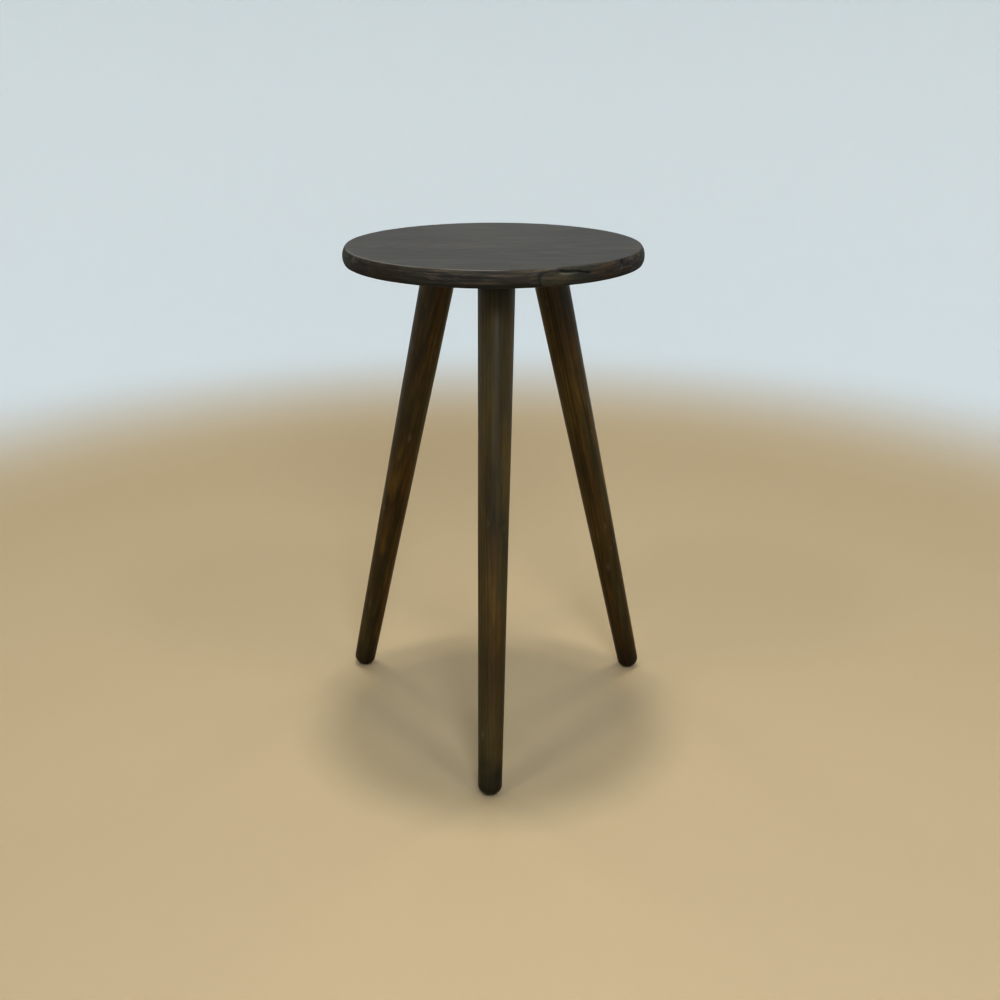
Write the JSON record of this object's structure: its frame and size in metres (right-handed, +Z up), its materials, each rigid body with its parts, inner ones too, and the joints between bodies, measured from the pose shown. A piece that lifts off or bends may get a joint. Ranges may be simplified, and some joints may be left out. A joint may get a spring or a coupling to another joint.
{
  "type": "three leg stool",
  "caption": "Round wooden stool with an edge-glued seat on splayed, tapered round legs, each bolted to a slanted steel plate under the seat.",
  "frame": {"origin": "on the floor, under the centre of the round seat", "axes": "+Z up, along the seat's own axis; the front leg points along -Y; the seat's grain runs along X"},
  "size_m": [0.3282, 0.3326, 0.5],
  "materials": {
    "seat_wood": "grey-brown stain, satin, worn at the arris",
    "leg_wood": "dark walnut stain, satin",
    "plate_steel": "bright zinc plate",
    "fastener_steel": "bright zinc plate"
  },
  "bodies": {
    "root": {"seat_board_1": "seat_wood", "seat_board_2": "seat_wood", "seat_board_3": "seat_wood", "seat_board_4": "seat_wood", "seat_board_5": "seat_wood", "leg_front": "leg_wood", "leg_right": "leg_wood", "leg_left": "leg_wood", "leg_plate_front": "plate_steel", "leg_plate_right": "plate_steel", "leg_plate_left": "plate_steel", "hanger_bolts": "fastener_steel", "plate_screws": "fastener_steel"}
  },
  "joints": []
}
